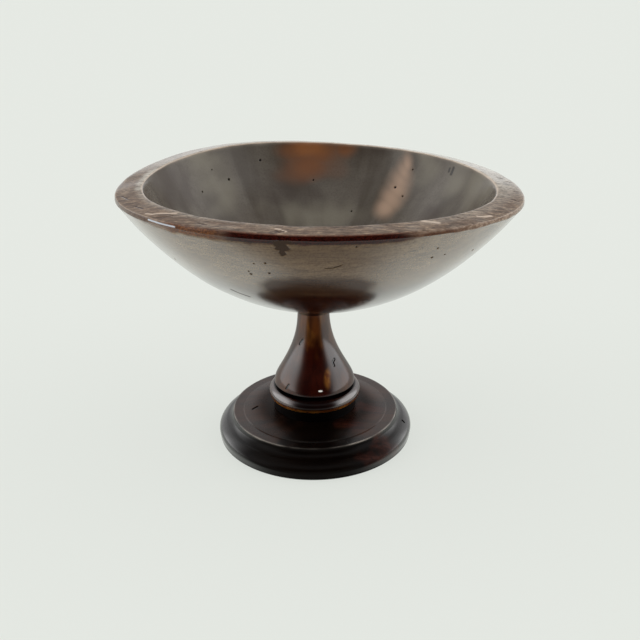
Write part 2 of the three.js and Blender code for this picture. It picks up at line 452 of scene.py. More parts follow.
def store(mesh, name, values):
    """Gives each point of a mesh its number, or its row of three."""
    kind, item = ("FLOAT", "value") if values.ndim == 1 else ("FLOAT_VECTOR", "vector")
    attribute = mesh.attributes.new(name, kind, "POINT")
    attribute.data.foreach_set(item, values.astype(np.float32).ravel())


def read(data, name, width):
    """What each item of a mesh's data holds, in rows."""
    values = np.zeros(len(data) * width, np.float32)
    data.foreach_get(name, values)
    return values.reshape(-1, width).astype(float)


def move(mesh, points):
    mesh.vertices.foreach_set("co", (points * MM).astype(np.float32).ravel())
    mesh.update()


def surface(piece):
    mesh = piece.data
    return BVHTree.FromPolygons([v.co for v in mesh.vertices], [p.vertices for p in mesh.polygons])


def refine(piece, spots, reach, sharp_angle):
    """Cuts the faces near the spots finer, so that small marks have a shape, and turns faces out.

    Gives the mesh, its points and their outward directions.
    """
    mesh = piece.data
    built = bmesh.new()
    built.from_mesh(mesh)
    built.faces.ensure_lookup_table()
    centres = np.array([f.calc_center_median() for f in built.faces]) / MM
    near = np.zeros(len(centres), bool)
    for spot in spots:
        near |= np.linalg.norm(centres - spot, axis=1) < reach
    edges = {e for i in np.flatnonzero(near) for e in built.faces[i].edges}
    edges = sorted(edges, key=lambda e: e.index)
    bmesh.ops.subdivide_edges(built, edges=edges, cuts=MARK_CUTS, use_grid_fill=True)
    bmesh.ops.recalc_face_normals(built, faces=built.faces)
    built.to_mesh(mesh)
    built.free()
    mesh.shade_smooth()
    mesh.set_sharp_from_angle(angle=math.radians(sharp_angle))
    mesh.update()
    return mesh, read(mesh.vertices, "co", 3) / MM, read(mesh.vertex_normals, "vector", 3)


def seat(piece, masks, node, slot, material):
    """Stands for a node, rides with the body and takes its finish and masks."""
    for name, values in masks.items():
        store(piece.data, name, values)
    piece.data.materials.append(material)
    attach(piece, "root")
    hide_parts(node)


# Shaders
def srgb(red, green, blue):
    """A colour as it shows on a screen, in the linear values of a shader."""
    values = [c / 255 for c in (red, green, blue)]
    return [*(c / 12.92 if c <= 0.04045 else ((c + 0.055) / 1.055) ** 2.4 for c in values), 1]


class Nodes:
    """A node tree, made and joined by short calls."""

    def __init__(self, tree):
        self.tree = tree

    def node(self, kind, **settings):
        made = self.tree.nodes.new(kind)
        for name, value in settings.items():
            setattr(made, name, value)
        return made

    def feed(self, socket, value):
        if isinstance(value, bpy.types.NodeSocket):
            self.tree.links.new(value, socket)
        else:
            socket.default_value = value

    def fill(self, node, **inputs):
        for name, value in inputs.items():
            self.feed(node.inputs[name], value)
        return node

    def made(self, kind, *values, **settings):
        """The first output of a new node whose sockets take the values in their order."""
        node = self.node(kind, **settings)
        for socket, value in zip(node.inputs, values):
            self.feed(socket, value)
        return node.outputs[0]

    def math(self, operation, first, second=0.0):
        return self.made("ShaderNodeMath", first, second, operation=operation)

    def plus(self, first, second):
        return self.math("ADD", first, second)

    def times(self, first, second):
        return self.math("MULTIPLY", first, second)

    def range(self, value, low, high, start=0, end=1):
        kind = "ShaderNodeMapRange"
        return self.made(kind, value, low, high, start, end, interpolation_type="SMOOTHSTEP")


class Shader(Nodes):
    """A material with one Principled shader."""

    # The colour sockets of a mix node, which share their names with its other sockets
    MIX_FIRST = 6
    MIX_SECOND = 7
    MIX_RESULT = 2

    def __init__(self, name):
        self.material = bpy.data.materials.new(name)
        self.material.use_nodes = True
        super().__init__(self.material.node_tree)
        self.surface = self.tree.nodes["Principled BSDF"]

    def give(self, name, value):
        self.fill(self.surface, **{name: value})

    def coat(self, weight, roughness, ior):
        self.give("Coat Weight", weight)
        self.give("Coat Roughness", roughness)
        self.give("Coat IOR", ior)

    def mask(self, name):
        return self.node("ShaderNodeAttribute", attribute_name=name).outputs["Fac"]

    def vector(self, name):
        return self.node("ShaderNodeAttribute", attribute_name=name).outputs["Vector"]

    def place(self, scale, turn=0):
        """Places on the object after a turn in degrees about its height, scaled along the axes."""
        place = self.node("ShaderNodeTexCoord").outputs["Object"]
        made = self.node("ShaderNodeMapping")
        self.fill(made, Vector=place, Rotation=(0, 0, math.radians(turn)), Scale=scale)
        return made.outputs["Vector"]

    def noise(self, vector, detail, roughness, distortion=0, scale=1):
        made = self.node("ShaderNodeTexNoise")
        self.fill(made, Vector=vector, Scale=scale)
        self.fill(made, Detail=detail, Roughness=roughness, Distortion=distortion)
        return made.outputs["Fac"]

    def mix(self, factor, first, second):
        made = self.node("ShaderNodeMix", data_type="RGBA")
        self.fill(made, Factor=factor)
        self.feed(made.inputs[self.MIX_FIRST], first)
        self.feed(made.inputs[self.MIX_SECOND], second)
        return made.outputs[self.MIX_RESULT]

    def tones(self, pattern, low, high, pair):
        """Two tones, mixed by a pattern between a low and a high value."""
        return self.mix(self.range(pattern, low, high), *pair)

    def streaks(self, colour, pattern, low, high, share, over):
        """A share of another colour, where a pattern is high."""
        return self.mix(self.range(pattern, low, high, 0, share), colour, over)

    def paint(self, colour, **coats):
        """Other colours one after the other, each where the mesh has the mask of its name."""
        for name, over in coats.items():
            colour = self.mix(self.mask(name), colour, over)
        return colour

    def facing(self, low, high, start=0, end=1):
        """Gloss that changes as the surface turns away, as old wax polish does."""
        away = self.node("ShaderNodeLayerWeight").outputs["Facing"]
        return self.range(away, low, high, start, end)

    def bump(self, height, distance, strength):
        made = self.node("ShaderNodeBump")
        self.fill(made, Strength=strength, Distance=distance * MM, Height=height)
        self.give("Normal", made.outputs["Normal"])


# Colours of the bowl, in pairs where a pattern mixes two tones
OUTSIDE_BROWNS = srgb(99, 78, 54), srgb(126, 104, 78)
# Paler flanks of the underside: painted light at the sides, away from the front
FLANK_BROWN = srgb(150, 128, 98)
OUTSIDE_GRAIN = srgb(66, 42, 24)
TURNING_RINGS = srgb(58, 36, 20)
# Painted shade and painted reflection of the foot on the underside above it
FOOT_SHADE = srgb(38, 12, 5)
OUTSIDE_MOTTLE = srgb(50, 28, 14)
INSIDE_GREYS = srgb(74, 66, 55), srgb(100, 93, 83)
INSIDE_GRAIN = srgb(60, 48, 36)
INSIDE_MOTTLE = srgb(56, 44, 34)
INSIDE_BLOTCH = srgb(64, 52, 40)
# Paler grey patches of painted sheen on the inside wall
INSIDE_LIGHT = srgb(126, 120, 104)
INSIDE_DULL = srgb(58, 46, 38)
INSIDE_WARMS = srgb(96, 62, 40), srgb(120, 76, 46)
INSIDE_GOLD = srgb(150, 94, 50)
INSIDE_TAN = srgb(178, 148, 124)
RIM_BROWNS = srgb(62, 44, 32), srgb(130, 108, 88)
RIM_BLOTCH = srgb(88, 66, 50)
RIM_CHIP = srgb(168, 146, 122)
RIM_BLEACHED = srgb(202, 198, 186)
RIM_FLAKE = srgb(48, 35, 26)
EDGE_BROWNS = srgb(104, 80, 64), srgb(148, 126, 108)
EDGE_AMBERS = srgb(112, 66, 30), srgb(70, 36, 14)
# Maroon of the band's front, darkened as painted shade
EDGE_MAROONS = srgb(26, 3, 1), srgb(54, 12, 5)
EDGE_RUSSETS = srgb(104, 58, 38), srgb(62, 28, 16)
# Pale colour of the painted highlights along the rim's edges and of its worn lines
WORN_EDGE = srgb(196, 178, 160)
DARK_STREAK = srgb(52, 32, 24)
EDGE_GLINT = srgb(202, 210, 220)
STAIN = srgb(58, 38, 22)
WORM_HOLE = srgb(16, 10, 8)
# Of the stem
STEM_REDS = srgb(30, 3, 1), srgb(50, 12, 3)
STEM_BROWNS = srgb(44, 20, 9), srgb(78, 45, 24)
STEM_GRAIN = srgb(22, 3, 1)
STEM_AMBERS = srgb(146, 92, 32), srgb(104, 54, 14)
# White of a small painted highlight on the flare
STEM_WHITE = srgb(250, 248, 242)
# Near-black painted shade in the stem's recesses and on the bead's front
STEM_BLACK = srgb(4, 2, 2)
STEM_HOLE = srgb(6, 5, 8)
# Of the foot
FOOT_BLACKS = srgb(3, 1, 1), srgb(9, 4, 2)
FIELD_BROWNS = srgb(36, 17, 9), srgb(60, 34, 20)
FOOT_GRAIN = srgb(12, 6, 4)
FOOT_REDS = srgb(58, 28, 20), srgb(34, 12, 7)
# Painted highlight on the foot's arris
FOOT_WORN = srgb(142, 134, 126)
FOOT_HOLE = srgb(8, 5, 4)

# Turns of grain in degrees, and the scale of the streaks inside the bowl
FLAKE_TURN = 12
FOOT_GRAIN_TURN = 35
FIGURE_SCALE = 0.045


def outside_colour(s, grain, blotch, mottle):
    """Brown wood with faint grain and turning rings, paler flanks of painted side light, and
    painted shade and reflection of the foot above it.
    """
    ring = s.noise(s.vector("turning"), 3, 0.6)
    colour = s.paint(s.tones(blotch, 0.3, 0.7, OUTSIDE_BROWNS), flank=FLANK_BROWN)
    colour = s.streaks(colour, grain, 0.35, 0.75, 0.5, OUTSIDE_GRAIN)
    colour = s.streaks(colour, ring, 0.42, 0.7, 0.5, TURNING_RINGS)
    colour = s.paint(colour, foot_shade=FOOT_SHADE)
    return s.streaks(colour, mottle, 0.35, 0.75, 0.5, OUTSIDE_MOTTLE)


def inside_colour(s, grain, blotch, mottle):
    """Greyer wood, with soft streaks down the wall, worn warm patches and paler patches of painted
    sheen.
    """
    figure = s.noise(s.vector("figure"), 3, 0.5, 0.6, FIGURE_SCALE)
    wall = s.plus(s.times(s.math("SUBTRACT", figure, 0.5), s.mask("wall")), 0.5)
    colour = s.tones(wall, 0.32, 0.68, INSIDE_GREYS)
    colour = s.streaks(colour, grain, 0.4, 0.8, 0.3, INSIDE_GRAIN)
    colour = s.streaks(colour, mottle, 0.4, 0.75, 0.3, INSIDE_MOTTLE)
    colour = s.streaks(colour, blotch, 0.35, 0.7, 0.35, INSIDE_BLOTCH)
    warm = s.tones(blotch, 0.35, 0.65, INSIDE_WARMS)
    return s.paint(
        colour, light=INSIDE_LIGHT, dull=INSIDE_DULL, warm=warm, gold=INSIDE_GOLD, tan=INSIDE_TAN,
    )


def rim_colour(s, streak, blotch):
    """Bare wood with dark streaks along the grain, paler at the back with painted sheen."""
    chip = s.noise(s.place((180, 520, 520), WARP_TURN), 4, 0.7)
    flake = s.noise(s.place((260, 640, 640), FLAKE_TURN), 4, 0.7)
    colour = s.tones(streak, 0.34, 0.66, RIM_BROWNS)
    colour = s.streaks(colour, blotch, 0.4, 0.65, 0.5, RIM_BLOTCH)
    colour = s.streaks(colour, chip, 0.5, 0.66, 0.55, RIM_CHIP)
    # The pale mask is mostly painted sheen, partly paler bare wood
    pale = s.times(s.mask("pale"), s.range(streak, 0.3, 0.6, 0.55, 1))
    colour = s.mix(pale, colour, RIM_BLEACHED)
    return s.streaks(colour, flake, 0.48, 0.62, 0.7, RIM_FLAKE)


def edge_colour(s, streak, speck):
    """The band under the rim: worn wood, with amber finish and maroon finish at the front, the
    maroon darkened there as painted shade.
    """
    amber = s.tones(speck, 0.4, 0.6, EDGE_AMBERS)
    maroon = s.tones(speck, 0.35, 0.65, EDGE_MAROONS)
    return s.paint(s.tones(streak, 0.35, 0.65, EDGE_BROWNS), amber=amber, maroon=maroon)


def bowl_material():
    s = Shader("bowl_wood")
    grain = s.noise(s.place((9, 150, 150), WARP_TURN), 5, 0.6, 0.4)
    blotch = s.noise(s.place((14, 30, 30), WARP_TURN), 4, 0.55, 0.6)
    speck = s.noise(s.place((600, 1100, 1100), WARP_TURN), 2, 0.5)
    streak = s.noise(s.place((60, 420, 420), WARP_TURN), 4, 0.65, 0.5)
    mottle = s.noise(s.place((700, 700, 700)), 3, 0.6)
    s.give("Base Color", s.paint(
        outside_colour(s, grain, blotch, mottle),
        inside=inside_colour(s, grain, blotch, mottle),
        rim=rim_colour(s, streak, blotch),
        band=edge_colour(s, streak, speck),
        russet=s.tones(speck, 0.35, 0.65, EDGE_RUSSETS),
        worn=WORN_EDGE, dark=DARK_STREAK, glint=EDGE_GLINT, stain=STAIN, hole=WORM_HOLE,
    ))
    bare = s.times(s.plus(s.mask("rim"), s.mask("stain")), 0.35)
    s.give("Roughness", s.plus(s.range(blotch, 0.2, 0.8, 0.16, 0.24), bare))
    s.give("IOR", 1.34)
    polish = s.times(s.facing(0.33, 0.5), s.mask("polish"))
    sheen = s.times(s.facing(0.76, 0.86, 0, 0.8), s.mask("rim"))
    s.coat(s.plus(polish, sheen), roughness=0.2, ior=2.1)
    s.bump(s.plus(grain, s.times(s.mask("rim"), streak)), distance=0.12, strength=0.6)
    return s.material


def stem_material():
    s = Shader("stem_wood")
    grain = s.noise(s.place((160, 160, 14)), 4, 0.6, 0.5)
    cloud = s.noise(s.place((70, 70, 26)), 3, 0.5)
    # Brown of the stem's sides, placed as painted side light
    brown = s.tones(cloud, 0.35, 0.65, STEM_BROWNS)
    colour = s.paint(s.tones(cloud, 0.35, 0.7, STEM_REDS), brown=brown)
    colour = s.streaks(colour, grain, 0.45, 0.75, 0.5, STEM_GRAIN)
    warm = s.tones(grain, 0.4, 0.6, STEM_AMBERS)
    colour = s.paint(colour, warm=warm, fleck=STEM_WHITE, stained=STEM_BLACK, hole=STEM_HOLE)
    s.give("Base Color", colour)
    s.give("Roughness", 0.3)
    s.give("Specular IOR Level", 0.1)
    polish = s.times(s.facing(0.02, 0.2), s.facing(0.4, 0.8, 1, 0.3))
    s.coat(s.times(polish, s.mask("polish")), roughness=0.13, ior=2)
    s.bump(grain, distance=0.05, strength=0.3)
    return s.material


def foot_material():
    s = Shader("foot_wood")
    grain = s.noise(s.place((18, 170, 170), FOOT_GRAIN_TURN), 5, 0.6, 0.4)
    cloud = s.noise(s.place((30, 40, 40), FOOT_GRAIN_TURN), 3, 0.5)
    field = s.tones(cloud, 0.3, 0.7, FIELD_BROWNS)
    colour = s.paint(s.tones(cloud, 0.35, 0.7, FOOT_BLACKS), field=field)
    colour = s.streaks(colour, grain, 0.4, 0.75, 0.6, FOOT_GRAIN)
    warm = s.tones(grain, 0.4, 0.6, FOOT_REDS)
    s.give("Base Color", s.paint(colour, warm=warm, worn=FOOT_WORN, hole=FOOT_HOLE))
    s.give("Roughness", s.range(cloud, 0.3, 0.7, 0.24, 0.34))
    s.give("Specular IOR Level", 0.05)
    s.coat(s.times(s.facing(0.22, 0.5), s.mask("polish")), roughness=0.18, ior=1.75)
    s.bump(grain, distance=0.06, strength=0.5)
    return s.material


# Marks on the bowl, by the pixel where the photograph shows them: worm holes with their radius.
BOWL_HOLES = [
    ((260.3, 160.1), 0.9), ((229, 179.4), 0.9), ((202.7, 191.6), 0.6), ((313.4, 179.9), 0.6),
    ((212, 169.6), 0.5), ((395.1, 187.2), 1.0), ((402.4, 196), 0.8), ((412.7, 169.6), 0.6),
    ((351.5, 211.1), 0.7), ((253.9, 263.8), 0.45), ((265.3, 263.4), 0.6), ((248.8, 271.6), 0.5),
    ((251, 274.5), 0.8), ((269.3, 273.6), 0.7), ((356.6, 247.2), 0.6), ((432, 257.5), 0.8),
    ((437.9, 248.3), 0.6), ((472.8, 250), 0.7), ((445, 254.5), 0.5), ((174.9, 259.4), 0.7),
]
# Scratches, and pale lines on the rim, with their half width
BOWL_SCRATCHES = [
    ([(231.2, 290), (238, 293), (249.6, 296.9)], 0.8),
    ([(325, 269), (333, 268.4), (343, 265)], 0.28),
    ([(361, 302.6), (365, 301.4), (369, 301)], 0.6),
    ([(451.2, 174), (453.6, 168)], 1.3),
    ([(448.8, 171.6), (449.8, 168.4)], 0.9),
]
RIM_PALE_LINES = [
    ([(146, 213.6), (152, 214), (161, 213), (176, 213)], 0.95),
    ([(423, 220.6), (430, 221.6), (438, 222.6)], 1.8),
    ([(478, 216), (484, 216.3), (491, 215.4)], 1.3),
    ([(276, 228.6), (280, 229)], 0.95),
    ([(283, 230.2), (285.5, 231)], 0.95),
]
# A painted glint along the lower edge of the band at the left
EDGE_PALE_LINES = [[(148, 219.6), (154, 221.7), (162, 224.2), (174, 227)]]
RIM_DARK_LINES = [
    [(157, 217), (165, 216.4), (173, 215)],
    [(275.5, 230.4), (279, 231.8), (284, 230.6)],
    [(514, 191), (518, 191.6)], [(506, 181), (511, 182)], [(498, 177.5), (502, 178.4)],
    [(512, 199), (519, 201.5)], [(457.5, 217), (463, 218)], [(122, 196), (128, 199)],
    [(136, 206), (143, 208.5)], [(198, 222.5), (206, 224.5)], [(473.5, 224), (479, 224.6)],
]
# Where the painted shade and reflection of the foot are darkest on the underside
SHADE_LINE = [(280, 289), (298, 287.5), (334, 287.5), (354, 289)]
# Soft patches, with their half width and half height
STAIN_PATCHES = [
    ((282, 243), 8, 1.6), ((280.5, 245), 5, 2.4), ((283, 248), 3.4, 3.4), ((277.5, 249), 2, 1.4),
    ((282.2, 253.6), 2.2, 2.6),
]
WARM_PATCHES = [
    ((298, 150), 18, 14), ((322, 154), 24, 18), ((310, 165), 26, 14), ((344, 150), 12, 10),
]
GOLD_PATCHES = [((311, 147), 12, 7)]
LIGHT_PATCHES = [
    ((202, 160), 12, 16), ((207, 168), 13, 18), ((213, 178), 14, 18), ((219, 188), 14, 18),
    ((225, 198), 14, 16), ((318, 216), 40, 12), ((428, 166), 12, 14), ((458, 180), 16, 16),
    ((474, 188), 18, 18), ((486, 190), 10, 14),
]
DULL_PATCHES = [
    ((170, 188), 9, 20), ((184, 192), 7, 16), ((375, 150), 22, 12), ((290, 190), 26, 16),
    ((432, 213), 18, 8),
]
TAN_PATCHES = [
    ((407, 165), 5, 12), ((404, 173), 8, 14), ((400, 181), 10, 14), ((397, 189), 11, 14),
    ((391, 198), 11, 14), ((385, 207), 10, 12),
]
RIM_PALE_PATCHES = [
    ((139.5, 188), 3.5, 6), ((140.5, 183), 3.5, 6), ((144, 178.5), 4, 6), ((149, 174.5), 5, 6),
    ((155, 171), 6, 6),
]

# Turns of the bowl's finishes, painted sheen and painted shade, in degrees: a step where one comes
# or goes, and an arc where it comes and then goes
FRONT_TURN = -90
FRONT_ARC = (-150, -125, -72, -60)
MAROON_ARC = (-119, -112, -70, -60)
AMBER_ARC = (-136, -129, -57, -48)
LEFT_ARC = (-174, -164, -140, -134)
BACK_ARC = (-30, 20, 150, 180)
# Where the rim's painted sheen comes and goes
BLEACHED_ARC = (-26, 24, 150, 180)
BLEACHED_RIGHT_ARC = (-72, -50, -10, 20)
BARE_STEP = (-72, -58)
AMBER_STEP = (-72, -62)
BLEACHED_STEP = (60, 120)
BLEACHED_LEAN = 15
WORN_END = 5
DULL_TURN = -88
# Angles away from the front, between which a finish, painted light or painted shade comes or goes
DULL_AWAY = (5, 24)
LINE_AWAY = (24, 60)
SHADE_AWAY = (8, 26)
FLANK_AWAY = (12, 32)
# Lengths along the outline from the boss, between which a finish goes
DULL_TOP = (138, 154)
SHADE_TOP = (92, 116)
# Sizes of the edge band's finish, the painted shade above the foot and the wall's streaks
BAND_DROP = 4.2
BAND_WAVER = 0.5
BAND_BLEND = 1.2
SHADE_HALF_WIDTH = 13
WALL_RADII = (20, 75)

# Depths and widths of the marks, and how finely the mesh is cut around them
HOLE_DEPTH = 1.3
SCRATCH_DEPTH = 0.25
STAIN_DEPTH = 0.1
LINE_WIDTH = 0.65
SWELL_DEPTH = 0.12
EDGE_WEAR = 0.2
EDGE_CHIPS = 0.12
BOWL_MARK_REACH = 3.5
SMALL_MARK_REACH = 2.5
MARK_CUTS = 3
RUN_SPOTS = 5
NICK_WIDTH = 0.9
NICK_DEPTH = 0.6
STEM_SWELL_DEPTH = 0.06
FOOT_SWELL_DEPTH = 0.05

# Corners sharper than these, in degrees, stay sharp
BOWL_SHARP_ANGLE = 50
STEM_SHARP_ANGLE = 40
FOOT_SHARP_ANGLE = 35

# Scales of the grain's coordinates, along the wood's figure and along its turning
FIGURE_AROUND = 90
FIGURE_ALONG = 0.2
TURNING_AROUND = 0.1
TURNING_ALONG = 0.9


def seen_lines(tree, found):
    return [[seen_at(tree, pixel) for pixel in line] for line in found]


def seen_wide_lines(tree, found):
    return [([seen_at(tree, pixel) for pixel in line], width) for line, width in found]


def patches(points, tree, marks, wobble, low, high):
    """How far each point lies inside soft patches, each a pixel with its half width and height."""
    inside = np.zeros(len(points))
    for pixel, width, height in marks:
        offset = points - seen_at(tree, pixel)
        share = np.hypot(offset[:, 0] / width, np.hypot(offset[:, 1], offset[:, 2]) / height)
        inside = np.maximum(inside, fade(share + wobble, low, high))
    return inside


def lines(points, found, width, low=0.4, high=1.5):
    """How far each point lies inside thin lines, fading between two shares of their width."""
    inside = np.zeros(len(points))
    for line in found:
        inside = np.maximum(inside, fade(near_line(points, line), low * width, high * width))
    return inside


def nicks_in(points, nicks):
    return lines(points, nicks, NICK_WIDTH, 0.5, 1.3)


class Bowl:
    """The bowl's mesh points, each with its place before the warp and along the outline."""

    def __init__(self, mesh, points, tree, marks):
        self.points, self.tree = points, tree
        self.boss, self.band_start, self.outer, self.inner = marks
        self.along = read(mesh.attributes["path"].data, "value", 1)[:, 0]
        self.plain = read(mesh.attributes["plain"].data, "vector", 3)
        self.radius = np.hypot(self.plain[:, 0], self.plain[:, 1])
        self.turn = np.degrees(np.arctan2(self.plain[:, 1], self.plain[:, 0]))
        self.away = np.abs(self.turn - FRONT_TURN)
        self.inside = smooth(self.along, self.inner - 0.4, self.inner + 0.6)
        self.rim = smooth(self.along, self.outer - 0.5, self.outer + 0.4) * (1 - self.inside)

    def patches(self, marks, wobble, size, seed, low, high):
        return patches(
            self.points, self.tree, marks, wobble * ripple(self.plain, size, seed), low, high,
        )


def band_masks(b):
    """The band under the rim: maroon finish with painted shade and amber finish at the front, and
    bare where it has gone.
    """
    front = window(b.turn, FRONT_ARC)
    low = b.band_start - 0.2 - BAND_DROP * front + BAND_WAVER * ripple(b.plain, 9, 17)
    start = low + 0.4 * front
    band = window(b.along, (start, start + BAND_BLEND, b.outer - 0.3, b.outer + 0.4))
    # maroon finish with painted shade on the front arc
    maroon = window(b.turn, MAROON_ARC)
    amber = window(b.turn, AMBER_ARC) * (1 - maroon)
    bare = smooth(b.turn, *BARE_STEP) * smooth(b.along, b.outer - 2.3, b.outer - 1.3)
    maroon = np.maximum(maroon, 0.55 * amber * smooth(b.turn, *AMBER_STEP))
    maroon, amber = maroon * (1 - bare), amber * (1 - bare)
    russet = 0.9 * bell(b.along - b.outer - 0.5, 0.8) * np.maximum(maroon, 0.6 * amber)
    matt = front * smooth(b.along, low - 1.2, low + 0.8)
    return {"band": band, "maroon": maroon, "amber": amber, "russet": russet}, matt


def bleached_mask(b):
    """How pale the rim is: painted sheen most at the back and in a band at the right, paler bare
    wood in patches at the left and in random spots.
    """
    pale = 0.85 * window(b.turn, BLEACHED_ARC) * (1 - 0.6 * smooth(b.turn, *BLEACHED_STEP))
    pale += 0.12 * smooth(ripple(b.plain, 16, 8), 0.3, 1.6)
    pale += 0.5 * b.patches(RIM_PALE_PATCHES, 0.25, 5, 18, 0.3, 1.3)
    pale += 0.2 * smooth(b.along, b.inner - 13, b.inner - 5) * window(b.turn, BLEACHED_RIGHT_ARC)
    behind = smooth(-np.cos(np.radians(b.turn - BLEACHED_LEAN)), 0.2, 0.8)
    pale += 0.25 * smooth(b.along, b.inner - 6, b.inner - 2) * behind
    return pale.clip(0, 1)


def worn_mask(b, pale_lines):
    """The rim's edges, with painted highlights along them, and the pale worn lines on it."""
    # painted highlights along the inner and outer edges
    inner_width = 0.5 + 0.6 * window(b.turn, BACK_ARC) + 0.06 * ripple(b.plain, 20, 3)
    inner_edge = 0.75 * bell(b.along - b.inner + 0.3, inner_width)
    outer_edge = 0.45 * bell(b.along - b.outer - 0.3, 0.5) * smooth(b.away, *LINE_AWAY)
    worn = np.maximum(inner_edge, outer_edge * (b.turn < WORN_END))
    worn *= 0.85 + 0.15 * ripple(b.plain, 14, 7)
    for line, width in pale_lines:
        pale = lines(b.points, [line], width) * b.rim
        worn = np.maximum(worn, (1 - 0.15 * width) * pale)
    return worn.clip(0, 1)


def inside_masks(b):
    masks = {
        "warm": b.patches(WARM_PATCHES, 0.2, 30, 5, 0, 1.5),
        # the light mask is painted sheen
        "light": 0.55 * b.patches(LIGHT_PATCHES, 0.25, 15, 14, 0, 1.5),
        "dull": 0.6 * b.patches(DULL_PATCHES, 0.25, 15, 15, 0, 1.6),
        "gold": 0.6 * b.patches(GOLD_PATCHES, 0.2, 20, 9, 0, 1.5),
        "tan": 0.85 * b.patches(TAN_PATCHES, 0.15, 20, 6, 0, 1.4),
    }
    return {name: b.inside * values for name, values in masks.items()}


def outside_masks(b, matt, marked):
    """The painted shade and reflection of the foot above it, the flanks painted paler as side
    light, and the polish where the wood isn't marked.
    """
    # Painted shade and reflection of the foot: darkest along a line across the front, and low near
    # the boss
    line = near_line(b.points, [seen_at(b.tree, pixel) for pixel in SHADE_LINE])
    shade = line / SHADE_HALF_WIDTH + 0.06 * ripple(b.plain, 12, 16)
    shade = fade(shade, 0.62, 1.25) * (1 - b.inside)
    up = b.along - b.boss
    dull = fade(np.abs(b.turn - DULL_TURN), *DULL_AWAY) * fade(up, *DULL_TOP)
    low = fade(up, *SHADE_TOP)
    foot_shade = np.maximum(0.8 * shade, low * (1 - 0.35 * smooth(b.away, *SHADE_AWAY)))
    polish = (1 - b.inside) * (1 - b.rim) * (1 - matt) * (1 - 0.85 * dull) * (1 - 0.92 * shade)
    for mark in marked:
        polish = polish * (1 - mark)
    return {
        "polish": polish,
        "foot_shade": foot_shade * (1 - b.inside),
        # painted light: the underside's flanks paler away from the front
        "flank": 0.5 * smooth(b.away, *FLANK_AWAY) * (1 - 0.5 * low) * (1 - shade),
        "wall": smooth(b.radius, *WALL_RADII),
    }


def bowl_push(b, hole, scratch, stain):
    """How far wear moves each point into the wood: unevenness, soft edges, holes, scratches."""
    push = SKIN + SWELL_DEPTH * (1 + ripple(b.plain, 34, 1))
    edge = bell(b.along - b.inner, 1.2) + bell(b.along - b.outer, 1)
    push += edge * (EDGE_WEAR + EDGE_CHIPS * ripple(b.plain, 16, 2)).clip(0)
    push += HOLE_DEPTH * hole + SCRATCH_DEPTH * scratch + STAIN_DEPTH * stain
    return push * smooth(b.along, b.boss - 6, b.boss)


def grain_places(b):
    """Coordinates for the streaks inside the bowl and for the turning rings outside."""
    flat = b.plain[:, :2]
    around = flat / np.maximum(1, b.radius)[:, None]
    return {
        "figure": np.column_stack([FIGURE_AROUND * around, FIGURE_ALONG * b.along]),
        "turning": np.column_stack([TURNING_AROUND * flat, TURNING_ALONG * b.along]),
    }


def make_bowl():
    outline, path, marks = bowl_outline()
    piece = turned("bowl_worn", outline, path, BOWL_SEGMENTS, warp)
    tree = surface(piece)
    holes = [(seen_at(tree, pixel), radius) for pixel, radius in BOWL_HOLES]
    scratches = seen_wide_lines(tree, BOWL_SCRATCHES)
    pale_lines = seen_wide_lines(tree, RIM_PALE_LINES)
    edge_lines, dark_lines = seen_lines(tree, EDGE_PALE_LINES), seen_lines(tree, RIM_DARK_LINES)
    spots = [place for place, _ in holes] + [seen_at(tree, pixel) for pixel, _, _ in STAIN_PATCHES]
    for line in [line for line, _ in scratches + pale_lines] + edge_lines + dark_lines:
        for start, end in zip(line[:-1], line[1:]):
            spots += [start + (end - start) * t for t in np.linspace(0, 1, RUN_SPOTS)]
    mesh, points, outward = refine(piece, spots, BOWL_MARK_REACH, BOWL_SHARP_ANGLE)
    b = Bowl(mesh, points, tree, marks)
    hole, scratch = np.zeros(len(points)), np.zeros(len(points))
    for place, radius in holes:
        away = np.linalg.norm(points - place, axis=1)
        hole = np.maximum(hole, fade(away, 0.7 * radius, 1.15 * radius))
    for line, width in scratches:
        scratch = np.maximum(scratch, lines(points, [line], width))
    stain = b.patches(STAIN_PATCHES, 0.2, 4, 4, 0.85, 1.05) * (b.along < b.outer - 0.2)
    dark = lines(points, dark_lines, LINE_WIDTH) * b.rim
    masks, matt = band_masks(b)
    masks |= {
        "inside": b.inside, "rim": b.rim, "stain": stain,
        "worn": worn_mask(b, pale_lines),
        "glint": 0.9 * lines(points, edge_lines, 0.75 * LINE_WIDTH),
        "dark": np.maximum(dark, 0.6 * masks["band"] * window(b.turn, LEFT_ARC)),
        "pale": bleached_mask(b),
        "hole": np.maximum(hole, 0.85 * scratch),
    }
    masks |= inside_masks(b)
    masks |= outside_masks(b, matt, (stain, hole, masks["band"], scratch)) | grain_places(b)
    push = bowl_push(b, hole, np.maximum(scratch, dark), stain)
    move(mesh, points - outward * push[:, None])
    seat(piece, masks, "bowl", "bowl_wood", bowl_material())


STEM_NICKS = [
    [(299.6, 344), (302.6, 340)],
    [(334.6, 359), (332.8, 362), (334.2, 365.6)],
    [(286, 388.6), (288.6, 385)],
]
STEM_WARM = [((305, 321), 5, 16), ((316, 322), 5, 18), ((328, 377), 2.2, 8)]
# A small painted highlight low on the flare
STEM_FLECK = ((320.5, 391.2), 1.9, 0.8)
# The stem's finishes and painted light: angles from the front, heights above its base or its bead's
# middle
BROWN_AWAY = (14, 42)
BLACK_TURN = -92
BLACK_AWAY = (16, 38)
BEAD_SHADE_DROP = 2.8
BEAD_SHADE_WIDTH = 1.8
STAIN_HEIGHTS = (-4.6, -3.6)
UPPER_HEIGHTS = (30, 50)
DRAWN_OUT = (1, 1, 0.4)


